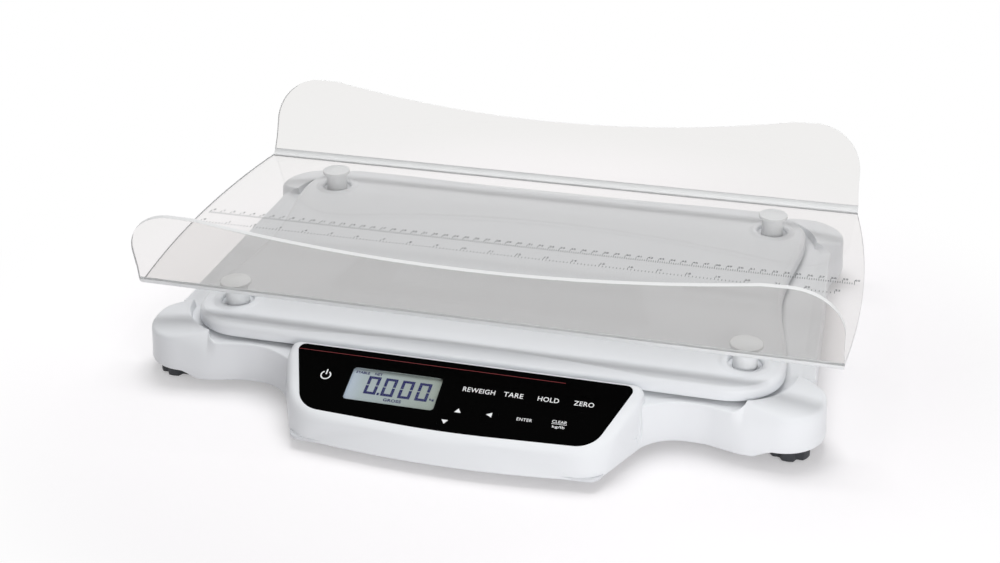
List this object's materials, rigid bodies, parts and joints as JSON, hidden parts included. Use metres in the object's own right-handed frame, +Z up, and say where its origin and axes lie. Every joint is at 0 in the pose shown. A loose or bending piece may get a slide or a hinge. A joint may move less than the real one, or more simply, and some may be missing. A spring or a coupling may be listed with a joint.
{
  "type": "animal weighing scale",
  "caption": "Table-top animal weighing scale: clear bent tray with upturned flaps on posts, floating platform over a load cell, sloped console base on levelling feet.",
  "frame": {"origin": "middle of the footprint, on the table under the feet", "axes": "+X along the tray, +Y away from the console, +Z up"},
  "size_m": [0.616, 0.4474, 0.1529],
  "materials": {
    "housing": "satin moulded plastic, cool white",
    "screw_steel": "zinc plated",
    "frame_steel": "grey painted pressed steel",
    "alloy": "machined",
    "lead_black": "matt black",
    "overlay_black": "printed foil, satin black",
    "sheet": "polyester sheet",
    "window": "clear",
    "display": "grey-green segment display",
    "board": "green circuit board",
    "cell_jacket": "plain printed jacket",
    "tray_clear": "clear bent acrylic sheet, polished edges",
    "post_white": "slightly translucent white",
    "sole_rubber": "matt rubber",
    "knob_black": "moulded black"
  },
  "bodies": {
    "base": {"base_housing": "housing", "bottom_cover": "housing", "cover_screws": "screw_steel", "base_frame": "frame_steel", "frame_screws": "screw_steel", "foot_nuts": "screw_steel", "load_cell": "alloy", "cell_spacer_lower": "alloy", "cell_bolts_lower": "screw_steel", "overload_stops": "screw_steel", "cell_lead": "lead_black", "keypad_overlay": "overlay_black", "keypad_spacer": "sheet", "keypad_circuit": "sheet", "snap_domes": "screw_steel", "display_window": "window", "display_module": "display", "main_board": "board", "board_screws": "screw_steel", "battery_holder": "lead_black", "battery_cells": "cell_jacket", "battery_contacts": "screw_steel", "mains_inlet": "lead_black"},
    "battery_door": {"battery_door": "housing"},
    "platform": {"platform_cover": "housing", "platform_carrier": "alloy", "carrier_screws": "screw_steel", "cell_spacer_upper": "alloy", "cell_bolts_upper": "screw_steel"},
    "tray": {"tray": "tray_clear", "post_front_left": "post_white", "post_front_right": "post_white", "post_rear_left": "post_white", "post_rear_right": "post_white"},
    "foot_sole_front_left": {"foot_sole_front_left": "sole_rubber"},
    "foot_knob_front_left": {"foot_knob_front_left": "knob_black"},
    "foot_sole_front_right": {"foot_sole_front_right": "sole_rubber"},
    "foot_knob_front_right": {"foot_knob_front_right": "knob_black"},
    "foot_sole_rear_left": {"foot_sole_rear_left": "sole_rubber"},
    "foot_knob_rear_left": {"foot_knob_rear_left": "knob_black"},
    "foot_sole_rear_right": {"foot_sole_rear_right": "sole_rubber"},
    "foot_knob_rear_right": {"foot_knob_rear_right": "knob_black"},
    "key_power": {"key_power": "overlay_black"},
    "key_reweigh": {"key_reweigh": "overlay_black"},
    "key_tare": {"key_tare": "overlay_black"},
    "key_hold": {"key_hold": "overlay_black"},
    "key_zero": {"key_zero": "overlay_black"},
    "key_up": {"key_up": "overlay_black"},
    "key_down": {"key_down": "overlay_black"},
    "key_left": {"key_left": "overlay_black"},
    "key_enter": {"key_enter": "overlay_black"},
    "key_clear": {"key_clear": "overlay_black"}
  },
  "joints": [
    {"name": "platform_deflection", "type": "slide", "parent": "base", "child": "platform", "axis": [0, 0, -1], "range_m": [0, 0.0005], "stiffness_N_per_m": 390000, "springref_m": -0.0001, "deforming": ["load_cell"]},
    {"name": "tray_lift", "type": "slide", "parent": "platform", "child": "tray", "axis": [0, 0, 1], "range_m": [0, 0.06]},
    {"name": "battery_door_hinge", "type": "hinge", "parent": "base", "child": "battery_door", "pos_m": [0, -0.05615, 0.0102], "axis": [1, 0, 0], "range_deg": [0, 85]},
    {"name": "foot_extend_front_left", "type": "slide", "parent": "base", "child": "foot_sole_front_left", "axis": [0, 0, -1], "range_m": [0, 0.008]},
    {"name": "foot_turn_front_left", "type": "hinge", "parent": "foot_sole_front_left", "child": "foot_knob_front_left", "pos_m": [-0.263, -0.12325, 0.006], "axis": [0, 0, 1], "range_deg": [0, 2304]},
    {"name": "foot_extend_front_right", "type": "slide", "parent": "base", "child": "foot_sole_front_right", "axis": [0, 0, -1], "range_m": [0, 0.008]},
    {"name": "foot_turn_front_right", "type": "hinge", "parent": "foot_sole_front_right", "child": "foot_knob_front_right", "pos_m": [0.263, -0.12325, 0.006], "axis": [0, 0, 1], "range_deg": [0, 2304]},
    {"name": "foot_extend_rear_left", "type": "slide", "parent": "base", "child": "foot_sole_rear_left", "axis": [0, 0, -1], "range_m": [0, 0.008]},
    {"name": "foot_turn_rear_left", "type": "hinge", "parent": "foot_sole_rear_left", "child": "foot_knob_rear_left", "pos_m": [-0.263, 0.19675, 0.006], "axis": [0, 0, 1], "range_deg": [0, 2304]},
    {"name": "foot_extend_rear_right", "type": "slide", "parent": "base", "child": "foot_sole_rear_right", "axis": [0, 0, -1], "range_m": [0, 0.008]},
    {"name": "foot_turn_rear_right", "type": "hinge", "parent": "foot_sole_rear_right", "child": "foot_knob_rear_right", "pos_m": [0.263, 0.19675, 0.006], "axis": [0, 0, 1], "range_deg": [0, 2304]},
    {"name": "press_power", "type": "slide", "parent": "base", "child": "key_power", "axis": [0, 0.3305, -0.9438], "range_m": [0, 0.0004], "stiffness_N_per_m": 5000, "springref_m": -0.0002},
    {"name": "press_reweigh", "type": "slide", "parent": "base", "child": "key_reweigh", "axis": [0, 0.3305, -0.9438], "range_m": [0, 0.0004], "stiffness_N_per_m": 5000, "springref_m": -0.0002},
    {"name": "press_tare", "type": "slide", "parent": "base", "child": "key_tare", "axis": [0, 0.3305, -0.9438], "range_m": [0, 0.0004], "stiffness_N_per_m": 5000, "springref_m": -0.0002},
    {"name": "press_hold", "type": "slide", "parent": "base", "child": "key_hold", "axis": [0, 0.3305, -0.9438], "range_m": [0, 0.0004], "stiffness_N_per_m": 5000, "springref_m": -0.0002},
    {"name": "press_zero", "type": "slide", "parent": "base", "child": "key_zero", "axis": [0, 0.3305, -0.9438], "range_m": [0, 0.0004], "stiffness_N_per_m": 5000, "springref_m": -0.0002},
    {"name": "press_up", "type": "slide", "parent": "base", "child": "key_up", "axis": [0, 0.3305, -0.9438], "range_m": [0, 0.0004], "stiffness_N_per_m": 5000, "springref_m": -0.0002},
    {"name": "press_down", "type": "slide", "parent": "base", "child": "key_down", "axis": [0, 0.3305, -0.9438], "range_m": [0, 0.0004], "stiffness_N_per_m": 5000, "springref_m": -0.0002},
    {"name": "press_left", "type": "slide", "parent": "base", "child": "key_left", "axis": [0, 0.3305, -0.9438], "range_m": [0, 0.0004], "stiffness_N_per_m": 5000, "springref_m": -0.0002},
    {"name": "press_enter", "type": "slide", "parent": "base", "child": "key_enter", "axis": [0, 0.3305, -0.9438], "range_m": [0, 0.0004], "stiffness_N_per_m": 5000, "springref_m": -0.0002},
    {"name": "press_clear", "type": "slide", "parent": "base", "child": "key_clear", "axis": [0, 0.3305, -0.9438], "range_m": [0, 0.0004], "stiffness_N_per_m": 5000, "springref_m": -0.0002}
  ],
  "couplings": [
    {"joint": "foot_turn_front_left", "follows": "foot_extend_front_left", "rad_per_m": 5026.5},
    {"joint": "foot_turn_front_right", "follows": "foot_extend_front_right", "rad_per_m": 5026.5},
    {"joint": "foot_turn_rear_left", "follows": "foot_extend_rear_left", "rad_per_m": 5026.5},
    {"joint": "foot_turn_rear_right", "follows": "foot_extend_rear_right", "rad_per_m": 5026.5}
  ]
}
